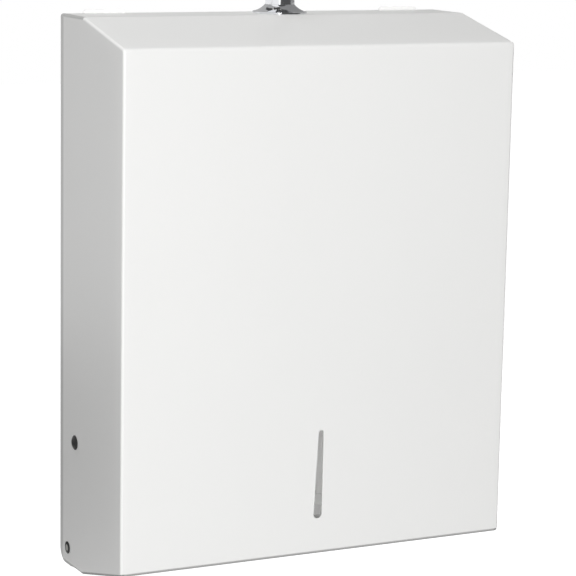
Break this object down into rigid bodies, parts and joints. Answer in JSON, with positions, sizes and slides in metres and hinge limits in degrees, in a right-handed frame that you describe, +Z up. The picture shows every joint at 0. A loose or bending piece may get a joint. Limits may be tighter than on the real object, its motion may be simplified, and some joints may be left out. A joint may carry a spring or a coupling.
{
  "type": "multifold towel dispenser",
  "caption": "Surface-mounted folded paper towel dispenser: white sheet-steel cover hinged at the bottom, sight slot, top key lock, lipped towel tray.",
  "frame": {"origin": "middle of the wall holes, on the face of the back plate that lies against the wall", "axes": "+X to the right seen from the front, +Y into the wall, +Z up"},
  "size_m": [0.287, 0.11, 0.4115],
  "materials": {
    "white_enamel": "gloss white baked enamel with a faint orange peel",
    "zinc_steel": "zinc-plated sheet steel, satin",
    "chrome": "polished chrome plate",
    "black_steel": "black oxide steel of the pins, semi gloss",
    "nylon": "natural nylon",
    "brass": "plain brass",
    "nickel_steel": "nickel-plated steel, bright"
  },
  "bodies": {
    "wall_unit": {"back_plate": "white_enamel", "left_bracket": "white_enamel", "right_bracket": "white_enamel", "bracket_rivets": "white_enamel", "towel_tray": "white_enamel", "tray_rivets": "white_enamel", "left_towel_guide": "white_enamel", "right_towel_guide": "white_enamel", "guide_rivets": "white_enamel", "lock_keeper": "white_enamel", "keeper_rivets": "white_enamel", "left_hinge_pin": "black_steel", "right_hinge_pin": "black_steel", "left_hinge_washer": "nylon", "right_hinge_washer": "nylon"},
    "cover": {"cover_front": "white_enamel", "cover_left_end": "white_enamel", "cover_right_end": "white_enamel", "left_stop_pin": "black_steel", "right_stop_pin": "black_steel", "left_stop_clip": "zinc_steel", "right_stop_clip": "zinc_steel", "lock_collar": "chrome", "lock_barrel": "chrome", "lock_washer": "zinc_steel", "lock_nut": "zinc_steel"},
    "lock": {"lock_plug": "nickel_steel", "lock_wafers": "brass", "lock_cam": "zinc_steel", "cam_screw": "zinc_steel"},
    "key": {"key": "nickel_steel"}
  },
  "joints": [
    {"name": "cover_swing", "type": "hinge", "parent": "wall_unit", "child": "cover", "pos_m": [0, -0.0153, -0.1743], "axis": [1, 0, 0], "range_deg": [0, 50]},
    {"name": "lock_turn", "type": "hinge", "parent": "cover", "child": "lock", "pos_m": [0.009, -0.0205, 0.186], "axis": [0, 0, 1], "range_deg": [0, 90]},
    {"name": "key_pull", "type": "slide", "parent": "lock", "child": "key", "axis": [0, 0, 1], "range_m": [0, 0.03]}
  ]
}
